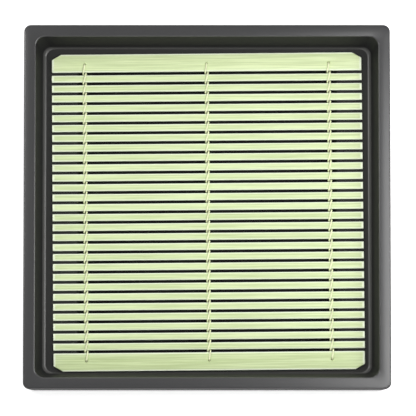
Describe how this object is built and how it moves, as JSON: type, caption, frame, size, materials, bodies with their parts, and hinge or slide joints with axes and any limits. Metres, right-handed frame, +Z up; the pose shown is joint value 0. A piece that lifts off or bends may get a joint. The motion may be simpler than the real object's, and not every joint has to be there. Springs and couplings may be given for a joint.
{
  "type": "square noodle tray with a slatted drainer mat",
  "caption": "Square black serving tray with a raised rim and a drainage well, holding a loose pale green mat of narrow slats tied by cords.",
  "frame": {"origin": "on the table, under the middle of the tray's square", "axes": "+Z up; +X to the right along the slats; +Y to the rear, from the front end slat towards the rear end slat"},
  "size_m": [0.2118, 0.2118, 0.029],
  "materials": {
    "tray_plastic": "semi-gloss black moulded plastic",
    "slat_plastic": "pale green with fine streaks along the slat and a soft sheen",
    "cord": "twisted pale green cord"
  },
  "bodies": {
    "tray": {"tray": "tray_plastic"},
    "slat_14": {"slat_14": "slat_plastic", "left_cord": "cord", "middle_cord": "cord", "right_cord": "cord"},
    "rear_end_slat": {"rear_end_slat": "slat_plastic"},
    "slat_01": {"slat_01": "slat_plastic"},
    "slat_02": {"slat_02": "slat_plastic"},
    "slat_03": {"slat_03": "slat_plastic"},
    "slat_04": {"slat_04": "slat_plastic"},
    "slat_05": {"slat_05": "slat_plastic"},
    "slat_06": {"slat_06": "slat_plastic"},
    "slat_07": {"slat_07": "slat_plastic"},
    "slat_08": {"slat_08": "slat_plastic"},
    "slat_09": {"slat_09": "slat_plastic"},
    "slat_10": {"slat_10": "slat_plastic"},
    "slat_11": {"slat_11": "slat_plastic"},
    "slat_12": {"slat_12": "slat_plastic"},
    "slat_13": {"slat_13": "slat_plastic"},
    "slat_15": {"slat_15": "slat_plastic"},
    "slat_16": {"slat_16": "slat_plastic"},
    "slat_17": {"slat_17": "slat_plastic"},
    "slat_18": {"slat_18": "slat_plastic"},
    "slat_19": {"slat_19": "slat_plastic"},
    "slat_20": {"slat_20": "slat_plastic"},
    "slat_21": {"slat_21": "slat_plastic"},
    "slat_22": {"slat_22": "slat_plastic"},
    "slat_23": {"slat_23": "slat_plastic"},
    "slat_24": {"slat_24": "slat_plastic"},
    "slat_25": {"slat_25": "slat_plastic"},
    "slat_26": {"slat_26": "slat_plastic"},
    "slat_27": {"slat_27": "slat_plastic"},
    "slat_28": {"slat_28": "slat_plastic"},
    "front_end_slat": {"front_end_slat": "slat_plastic"}
  },
  "joints": [
    {"name": "mat_lift", "type": "slide", "parent": "tray", "child": "slat_14", "axis": [0, 0, 1], "range_m": [0, 0.04]},
    {"name": "roll", "type": "hinge", "parent": "slat_14", "child": "slat_15", "pos_m": [0.0005, -0.0009, 0.0108], "axis": [-1, -0.0087, 0], "range_deg": [0, 10.5], "deforming": ["left_cord", "middle_cord", "right_cord"]},
    {"name": "bend_16", "type": "hinge", "parent": "slat_15", "child": "slat_16", "pos_m": [0.00055, -0.0067, 0.0108], "axis": [-1, -0.0087, 0], "range_deg": [0, 10.5]},
    {"name": "bend_17", "type": "hinge", "parent": "slat_16", "child": "slat_17", "pos_m": [0.0006, -0.0125, 0.0108], "axis": [-1, -0.0087, 0], "range_deg": [0, 10.5]},
    {"name": "bend_18", "type": "hinge", "parent": "slat_17", "child": "slat_18", "pos_m": [0.00065, -0.0183, 0.0108], "axis": [-1, -0.0087, 0], "range_deg": [0, 10.5]},
    {"name": "bend_19", "type": "hinge", "parent": "slat_18", "child": "slat_19", "pos_m": [0.0007, -0.0241, 0.0108], "axis": [-1, -0.0087, 0], "range_deg": [0, 10.5]},
    {"name": "bend_20", "type": "hinge", "parent": "slat_19", "child": "slat_20", "pos_m": [0.00075, -0.0299, 0.0108], "axis": [-1, -0.0087, 0], "range_deg": [0, 10.5]},
    {"name": "bend_21", "type": "hinge", "parent": "slat_20", "child": "slat_21", "pos_m": [0.0008, -0.0357, 0.0108], "axis": [-1, -0.0087, 0], "range_deg": [0, 10.5]},
    {"name": "bend_22", "type": "hinge", "parent": "slat_21", "child": "slat_22", "pos_m": [0.00085, -0.0415, 0.0108], "axis": [-1, -0.0087, 0], "range_deg": [0, 10.5]},
    {"name": "bend_23", "type": "hinge", "parent": "slat_22", "child": "slat_23", "pos_m": [0.0009, -0.0473, 0.0108], "axis": [-1, -0.0087, 0], "range_deg": [0, 10.5]},
    {"name": "bend_24", "type": "hinge", "parent": "slat_23", "child": "slat_24", "pos_m": [0.00096, -0.0531, 0.0108], "axis": [-1, -0.0087, 0], "range_deg": [0, 10.5]},
    {"name": "bend_25", "type": "hinge", "parent": "slat_24", "child": "slat_25", "pos_m": [0.00101, -0.0589, 0.0108], "axis": [-1, -0.0087, 0], "range_deg": [0, 10.5]},
    {"name": "bend_26", "type": "hinge", "parent": "slat_25", "child": "slat_26", "pos_m": [0.00106, -0.0647, 0.0108], "axis": [-1, -0.0087, 0], "range_deg": [0, 10.5]},
    {"name": "bend_27", "type": "hinge", "parent": "slat_26", "child": "slat_27", "pos_m": [0.00111, -0.0705, 0.0108], "axis": [-1, -0.0087, 0], "range_deg": [0, 10.5]},
    {"name": "bend_28", "type": "hinge", "parent": "slat_27", "child": "slat_28", "pos_m": [0.00116, -0.0763, 0.0108], "axis": [-1, -0.0087, 0], "range_deg": [0, 10.5]},
    {"name": "bend_29", "type": "hinge", "parent": "slat_28", "child": "front_end_slat", "pos_m": [0.00121, -0.0821, 0.0108], "axis": [-1, -0.0087, 0], "range_deg": [0, 10.5]},
    {"name": "bend_14", "type": "hinge", "parent": "slat_14", "child": "slat_13", "pos_m": [0.00045, 0.0049, 0.0108], "axis": [1, 0.0087, 0], "range_deg": [0, 10.5]},
    {"name": "bend_13", "type": "hinge", "parent": "slat_13", "child": "slat_12", "pos_m": [0.0004, 0.0107, 0.0108], "axis": [1, 0.0087, 0], "range_deg": [0, 10.5]},
    {"name": "bend_12", "type": "hinge", "parent": "slat_12", "child": "slat_11", "pos_m": [0.00035, 0.0165, 0.0108], "axis": [1, 0.0087, 0], "range_deg": [0, 10.5]},
    {"name": "bend_11", "type": "hinge", "parent": "slat_11", "child": "slat_10", "pos_m": [0.0003, 0.0223, 0.0108], "axis": [1, 0.0087, 0], "range_deg": [0, 10.5]},
    {"name": "bend_10", "type": "hinge", "parent": "slat_10", "child": "slat_09", "pos_m": [0.00025, 0.0281, 0.0108], "axis": [1, 0.0087, 0], "range_deg": [0, 10.5]},
    {"name": "bend_09", "type": "hinge", "parent": "slat_09", "child": "slat_08", "pos_m": [0.0002, 0.0339, 0.0108], "axis": [1, 0.0087, 0], "range_deg": [0, 10.5]},
    {"name": "bend_08", "type": "hinge", "parent": "slat_08", "child": "slat_07", "pos_m": [0.00015, 0.0397, 0.0108], "axis": [1, 0.0087, 0], "range_deg": [0, 10.5]},
    {"name": "bend_07", "type": "hinge", "parent": "slat_07", "child": "slat_06", "pos_m": [0.0001, 0.0455, 0.0108], "axis": [1, 0.0087, 0], "range_deg": [0, 10.5]},
    {"name": "bend_06", "type": "hinge", "parent": "slat_06", "child": "slat_05", "pos_m": [0.00004, 0.0513, 0.0108], "axis": [1, 0.0087, 0], "range_deg": [0, 10.5]},
    {"name": "bend_05", "type": "hinge", "parent": "slat_05", "child": "slat_04", "pos_m": [-0.00001, 0.0571, 0.0108], "axis": [1, 0.0087, 0], "range_deg": [0, 10.5]},
    {"name": "bend_04", "type": "hinge", "parent": "slat_04", "child": "slat_03", "pos_m": [-0.00006, 0.0629, 0.0108], "axis": [1, 0.0087, 0], "range_deg": [0, 10.5]},
    {"name": "bend_03", "type": "hinge", "parent": "slat_03", "child": "slat_02", "pos_m": [-0.00011, 0.0687, 0.0108], "axis": [1, 0.0087, 0], "range_deg": [0, 10.5]},
    {"name": "bend_02", "type": "hinge", "parent": "slat_02", "child": "slat_01", "pos_m": [-0.00016, 0.0745, 0.0108], "axis": [1, 0.0087, 0], "range_deg": [0, 10.5]},
    {"name": "bend_01", "type": "hinge", "parent": "slat_01", "child": "rear_end_slat", "pos_m": [-0.00021, 0.0803, 0.0108], "axis": [1, 0.0087, 0], "range_deg": [0, 10.5]}
  ],
  "couplings": [
    {"joint": "bend_16", "follows": "roll", "ratio": 1},
    {"joint": "bend_17", "follows": "roll", "ratio": 1},
    {"joint": "bend_18", "follows": "roll", "ratio": 1},
    {"joint": "bend_19", "follows": "roll", "ratio": 1},
    {"joint": "bend_20", "follows": "roll", "ratio": 1},
    {"joint": "bend_21", "follows": "roll", "ratio": 1},
    {"joint": "bend_22", "follows": "roll", "ratio": 1},
    {"joint": "bend_23", "follows": "roll", "ratio": 1},
    {"joint": "bend_24", "follows": "roll", "ratio": 1},
    {"joint": "bend_25", "follows": "roll", "ratio": 1},
    {"joint": "bend_26", "follows": "roll", "ratio": 1},
    {"joint": "bend_27", "follows": "roll", "ratio": 1},
    {"joint": "bend_28", "follows": "roll", "ratio": 1},
    {"joint": "bend_29", "follows": "roll", "ratio": 1},
    {"joint": "bend_14", "follows": "roll", "ratio": 1},
    {"joint": "bend_13", "follows": "roll", "ratio": 1},
    {"joint": "bend_12", "follows": "roll", "ratio": 1},
    {"joint": "bend_11", "follows": "roll", "ratio": 1},
    {"joint": "bend_10", "follows": "roll", "ratio": 1},
    {"joint": "bend_09", "follows": "roll", "ratio": 1},
    {"joint": "bend_08", "follows": "roll", "ratio": 1},
    {"joint": "bend_07", "follows": "roll", "ratio": 1},
    {"joint": "bend_06", "follows": "roll", "ratio": 1},
    {"joint": "bend_05", "follows": "roll", "ratio": 1},
    {"joint": "bend_04", "follows": "roll", "ratio": 1},
    {"joint": "bend_03", "follows": "roll", "ratio": 1},
    {"joint": "bend_02", "follows": "roll", "ratio": 1},
    {"joint": "bend_01", "follows": "roll", "ratio": 1}
  ]
}
